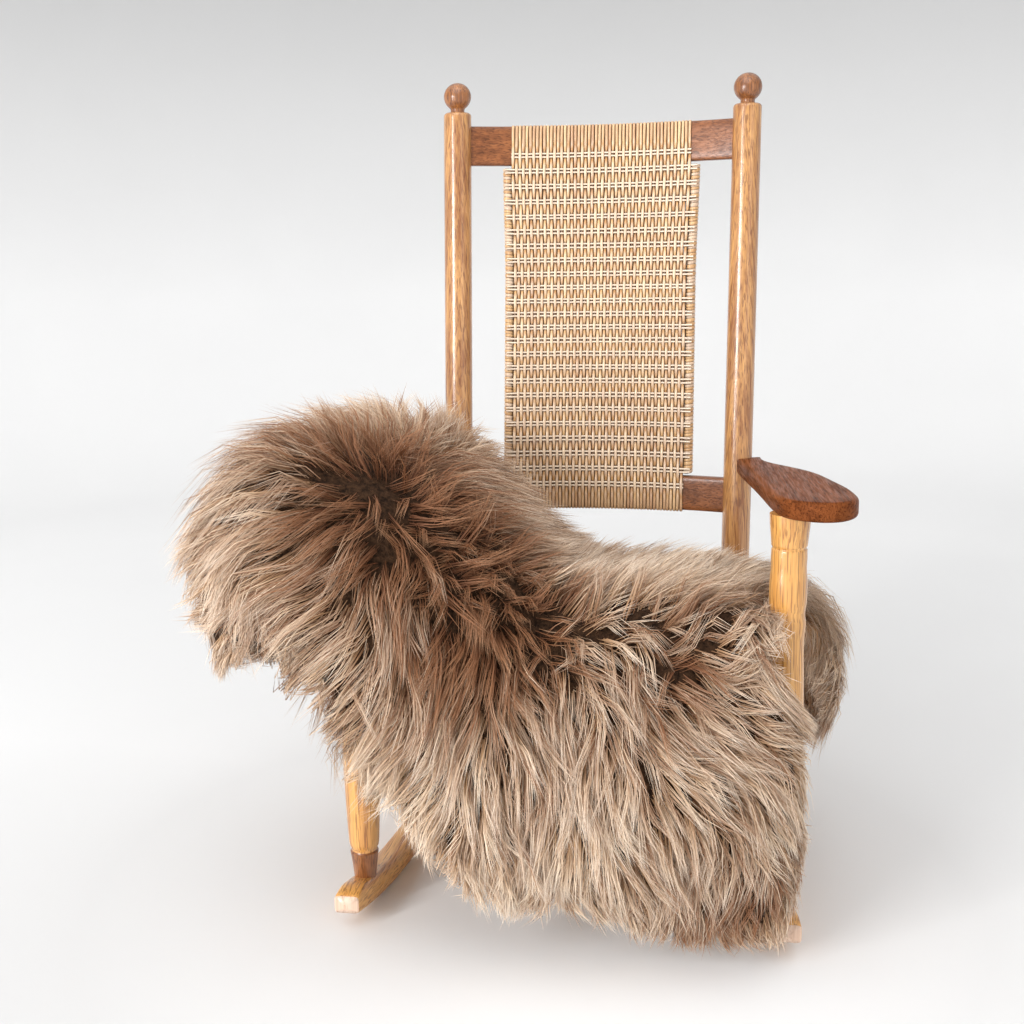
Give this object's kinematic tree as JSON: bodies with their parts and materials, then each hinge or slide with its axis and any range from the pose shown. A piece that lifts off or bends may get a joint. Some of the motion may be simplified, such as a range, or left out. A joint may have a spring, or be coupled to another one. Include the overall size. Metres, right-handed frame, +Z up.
{
  "type": "sheepskin rug on rocking chair",
  "caption": "Brown long-wool sheepskin rug draped over the left arm, the seat and the front of a wooden rocking chair with a tall woven cane back.",
  "frame": {"origin": "on the floor, under the middle of the whole, rug and chair together", "axes": "+Z up; +Y to the chair's back, so its front faces -Y; +X to the bare arm, on the right as seen from the front"},
  "size_m": [0.8094, 0.9259, 1.0882],
  "materials": {
    "wool": "long glossy wool, dark roots and pale tips, on a tanned hide",
    "honey_oak": "clear varnish, half gloss",
    "brown_oak": "brown stain and varnish, half gloss",
    "cane": "woven varnished cane"
  },
  "bodies": {
    "root": {"back_post_left": "brown_oak", "back_post_right": "brown_oak", "front_post_left": "honey_oak", "front_post_right": "honey_oak", "rocker_left": "honey_oak", "rocker_right": "honey_oak", "arm_left": "brown_oak", "arm_right": "brown_oak", "top_rail": "brown_oak", "low_rail": "brown_oak", "cane_back": "cane", "seat": "cane", "front_stretcher_1": "honey_oak", "front_stretcher_2": "honey_oak", "side_stretcher_left_1": "honey_oak", "side_stretcher_left_2": "honey_oak", "side_stretcher_right_1": "honey_oak", "side_stretcher_right_2": "honey_oak", "rear_stretcher_1": "honey_oak", "sheepskin": "wool"}
  },
  "joints": []
}
